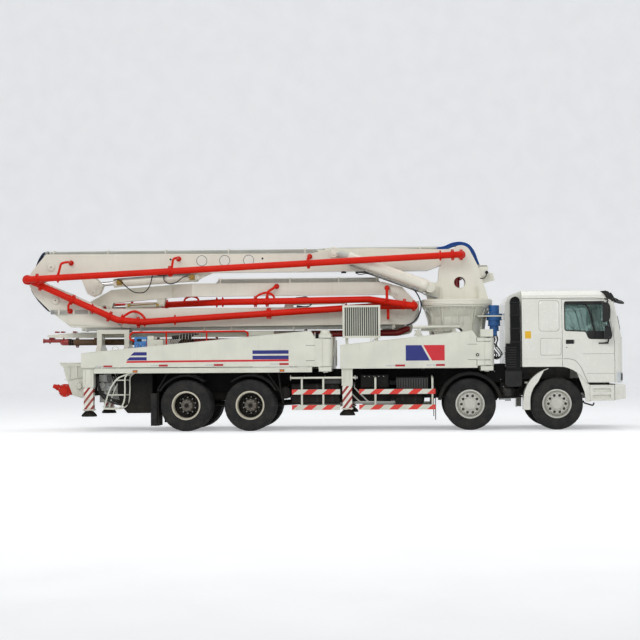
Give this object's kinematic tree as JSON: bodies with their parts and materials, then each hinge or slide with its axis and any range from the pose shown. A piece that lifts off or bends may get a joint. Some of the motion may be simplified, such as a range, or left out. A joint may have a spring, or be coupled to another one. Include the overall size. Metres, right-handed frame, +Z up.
{
  "type": "truck-mounted concrete pump",
  "caption": "Truck-mounted concrete pump: forward-control cab, steered and twin driven axles, swing-out outriggers, rear hopper and a folded placing boom with delivery pipe.",
  "frame": {"origin": "on the ground, under the middle of the truck's length and width", "axes": "+X forward over the cab, +Y to the truck's left, +Z up"},
  "size_m": [12.806, 2.97, 3.9301],
  "materials": {
    "white_paint": "cream white gloss enamel, a little dusty",
    "red_paint": "orange red gloss enamel",
    "black_paint": "satin black chassis paint, dusty",
    "blue_paint": "blue gloss enamel",
    "tyre": "dull black rubber with road dust",
    "rubber": "brown black rubber hose",
    "steel": "ground and chromed rod",
    "cast_iron": "rough casting",
    "glass": "lightly green tinted safety glass",
    "cab_trim_plastic": "grained dark grey plastic and cloth",
    "black_plastic": "black moulded plastic"
  },
  "bodies": {
    "root": {"chassis_frame": "black_paint", "axles": "black_paint", "engine": "cast_iron", "mudguards": "black_paint", "tanks": "black_paint", "subframe": "white_paint", "deck": "white_paint", "pump_unit": "white_paint", "side_guards": "white_paint", "handrail": "red_paint", "oil_cooler": "white_paint", "slew_drive": "blue_paint", "pedestal": "white_paint", "hopper": "white_paint", "bumper": "white_paint"},
    "knuckle_1l": {"knuckle_1l": "black_paint"},
    "knuckle_1r": {"knuckle_1r": "black_paint"},
    "knuckle_2l": {"knuckle_2l": "black_paint"},
    "knuckle_2r": {"knuckle_2r": "black_paint"},
    "wheel_1l": {"wheel_1l": "tyre"},
    "wheel_1r": {"wheel_1r": "tyre"},
    "wheel_2l": {"wheel_2l": "tyre"},
    "wheel_2r": {"wheel_2r": "tyre"},
    "wheel_3l": {"wheel_3l": "tyre"},
    "wheel_3r": {"wheel_3r": "tyre"},
    "wheel_4l": {"wheel_4l": "tyre"},
    "wheel_4r": {"wheel_4r": "tyre"},
    "turret": {"turret": "white_paint"},
    "lift_barrels": {"lift_barrels": "white_paint"},
    "lift_rods": {"lift_rods": "steel"},
    "boom_1": {"boom_1": "white_paint", "pipe_1": "red_paint"},
    "boom_2": {"boom_2": "white_paint", "pipe_2": "red_paint"},
    "boom_3": {"boom_3": "white_paint", "pipe_3": "red_paint"},
    "boom_4": {"boom_4": "white_paint", "pipe_4": "red_paint"},
    "boom_5": {"boom_5": "white_paint", "pipe_5": "red_paint", "end_hose": "rubber"},
    "outrigger_fl": {"outrigger_fl": "white_paint"},
    "jack_fl": {"jack_fl": "white_paint"},
    "outrigger_fr": {"outrigger_fr": "white_paint"},
    "jack_fr": {"jack_fr": "white_paint"},
    "outrigger_rl": {"outrigger_rl": "white_paint"},
    "jack_rl": {"jack_rl": "white_paint"},
    "outrigger_rr": {"outrigger_rr": "white_paint"},
    "jack_rr": {"jack_rr": "white_paint"},
    "grate": {"grate": "white_paint"},
    "agitator": {"agitator": "cast_iron"},
    "cab": {"cab": "white_paint", "cab_interior": "cab_trim_plastic", "cab_glass": "glass", "cab_trim": "black_plastic"},
    "door_l": {"door_l": "white_paint", "mirror_l": "black_plastic"},
    "door_r": {"door_r": "white_paint", "mirror_r": "black_plastic"}
  },
  "joints": [
    {"name": "steer_1l", "type": "hinge", "parent": "root", "child": "knuckle_1l", "pos_m": [5, 0.8, 0.542], "axis": [0, 0, 1], "range_deg": [-35, 35]},
    {"name": "roll_1l", "type": "hinge", "parent": "knuckle_1l", "child": "wheel_1l", "pos_m": [5, 1.011, 0.542], "axis": [0, 1, 0], "continuous": true},
    {"name": "steer_1r", "type": "hinge", "parent": "root", "child": "knuckle_1r", "pos_m": [5, -0.8, 0.542], "axis": [0, 0, 1], "range_deg": [-35, 35]},
    {"name": "roll_1r", "type": "hinge", "parent": "knuckle_1r", "child": "wheel_1r", "pos_m": [5, -1.011, 0.542], "axis": [0, 1, 0], "continuous": true},
    {"name": "steer_2l", "type": "hinge", "parent": "root", "child": "knuckle_2l", "pos_m": [3.2, 0.8, 0.542], "axis": [0, 0, 1], "range_deg": [-25, 25]},
    {"name": "roll_2l", "type": "hinge", "parent": "knuckle_2l", "child": "wheel_2l", "pos_m": [3.2, 1.011, 0.542], "axis": [0, 1, 0], "continuous": true},
    {"name": "steer_2r", "type": "hinge", "parent": "root", "child": "knuckle_2r", "pos_m": [3.2, -0.8, 0.542], "axis": [0, 0, 1], "range_deg": [-25, 25]},
    {"name": "roll_2r", "type": "hinge", "parent": "knuckle_2r", "child": "wheel_2r", "pos_m": [3.2, -1.011, 0.542], "axis": [0, 1, 0], "continuous": true},
    {"name": "roll_3l", "type": "hinge", "parent": "root", "child": "wheel_3l", "pos_m": [-1.4, 0.915, 0.542], "axis": [0, 1, 0], "continuous": true},
    {"name": "roll_3r", "type": "hinge", "parent": "root", "child": "wheel_3r", "pos_m": [-1.4, -0.915, 0.542], "axis": [0, 1, 0], "continuous": true},
    {"name": "roll_4l", "type": "hinge", "parent": "root", "child": "wheel_4l", "pos_m": [-2.75, 0.915, 0.542], "axis": [0, 1, 0], "continuous": true},
    {"name": "roll_4r", "type": "hinge", "parent": "root", "child": "wheel_4r", "pos_m": [-2.75, -0.915, 0.542], "axis": [0, 1, 0], "continuous": true},
    {"name": "boom_lift", "type": "hinge", "parent": "turret", "child": "boom_1", "pos_m": [3.069, 0, 3.707], "axis": [0, 1, 0], "range_deg": [0, 85]},
    {"name": "slew", "type": "hinge", "parent": "root", "child": "turret", "pos_m": [2.975, 0, 2.638], "axis": [0, 0, -1], "range_deg": [-185, 185]},
    {"name": "knee_1", "type": "hinge", "parent": "boom_1", "child": "boom_2", "pos_m": [-6.29, 0, 3.259], "axis": [0, 1, 0], "range_deg": [0, 180]},
    {"name": "knee_2", "type": "hinge", "parent": "boom_2", "child": "boom_3", "pos_m": [2.049, 0, 2.628], "axis": [0, 1, 0], "range_deg": [0, 180]},
    {"name": "knee_3", "type": "hinge", "parent": "boom_3", "child": "boom_4", "pos_m": [-5.1, 0.34, 2.6], "axis": [0, 1, 0], "range_deg": [0, 235]},
    {"name": "knee_4", "type": "hinge", "parent": "boom_4", "child": "boom_5", "pos_m": [1.914, 0.34, 2.15], "axis": [0, -1, 0], "range_deg": [0, 180]},
    {"name": "lift_foot", "type": "hinge", "parent": "turret", "child": "lift_barrels", "pos_m": [2.403, 0, 3.029], "axis": [0, 1, 0], "range_deg": [0, 79]},
    {"name": "lift_stroke", "type": "slide", "parent": "lift_barrels", "child": "lift_rods", "axis": [-0.9373, 0, 0.3486], "range_m": [0, 1.27]},
    {"name": "swing_fl", "type": "hinge", "parent": "root", "child": "outrigger_fl", "pos_m": [3.556, 1.09, 1.64], "axis": [0, 0, -1], "range_deg": [0, 105]},
    {"name": "jack_fl_slide", "type": "slide", "parent": "outrigger_fl", "child": "jack_fl", "axis": [0, 0, -1], "range_m": [0, 0.6]},
    {"name": "swing_fr", "type": "hinge", "parent": "root", "child": "outrigger_fr", "pos_m": [3.556, -1.09, 1.64], "axis": [0, 0, 1], "range_deg": [0, 105]},
    {"name": "jack_fr_slide", "type": "slide", "parent": "outrigger_fr", "child": "jack_fr", "axis": [0, 0, -1], "range_m": [0, 0.6]},
    {"name": "swing_rl", "type": "hinge", "parent": "root", "child": "outrigger_rl", "pos_m": [0.183, 1.09, 1.64], "axis": [0, 0, -1], "range_deg": [0, 62]},
    {"name": "jack_rl_slide", "type": "slide", "parent": "outrigger_rl", "child": "jack_rl", "axis": [0, 0, -1], "range_m": [0, 0.6]},
    {"name": "swing_rr", "type": "hinge", "parent": "root", "child": "outrigger_rr", "pos_m": [0.183, -1.09, 1.64], "axis": [0, 0, 1], "range_deg": [0, 62]},
    {"name": "jack_rr_slide", "type": "slide", "parent": "outrigger_rr", "child": "jack_rr", "axis": [0, 0, -1], "range_m": [0, 0.6]},
    {"name": "grate_hinge", "type": "hinge", "parent": "root", "child": "grate", "pos_m": [-5.12, 0, 1.452], "axis": [0, 1, 0], "range_deg": [0, 80]},
    {"name": "agitator_turn", "type": "hinge", "parent": "root", "child": "agitator", "pos_m": [-5.1, 0, 0.96], "axis": [0, 1, 0], "continuous": true},
    {"name": "cab_tilt", "type": "hinge", "parent": "root", "child": "cab", "pos_m": [6.31, 0, 1.04], "axis": [0, 1, 0], "range_deg": [0, 50]},
    {"name": "door_l_hinge", "type": "hinge", "parent": "cab", "child": "door_l", "pos_m": [6.187, 1.24, 1.7], "axis": [0, 0, -1], "range_deg": [0, 70]},
    {"name": "door_r_hinge", "type": "hinge", "parent": "cab", "child": "door_r", "pos_m": [6.187, -1.24, 1.7], "axis": [0, 0, 1], "range_deg": [0, 70]}
  ],
  "couplings": [
    {"joint": "steer_1r", "follows": "steer_1l", "ratio": 1},
    {"joint": "steer_2l", "follows": "steer_1l", "ratio": 0.68},
    {"joint": "steer_2r", "follows": "steer_1l", "ratio": 0.68},
    {"joint": "lift_foot", "follows": "boom_lift", "ratio": 0.9205},
    {"joint": "lift_stroke", "follows": "boom_lift", "m_per_rad": 0.8374},
    {"joint": "slew", "follows": "boom_lift", "ratio": 1.6},
    {"joint": "knee_1", "follows": "boom_lift", "ratio": 0.1},
    {"joint": "knee_2", "follows": "boom_lift", "ratio": 0.012},
    {"joint": "knee_3", "follows": "boom_lift", "ratio": 0.02},
    {"joint": "knee_4", "follows": "boom_lift", "ratio": 0.1}
  ]
}
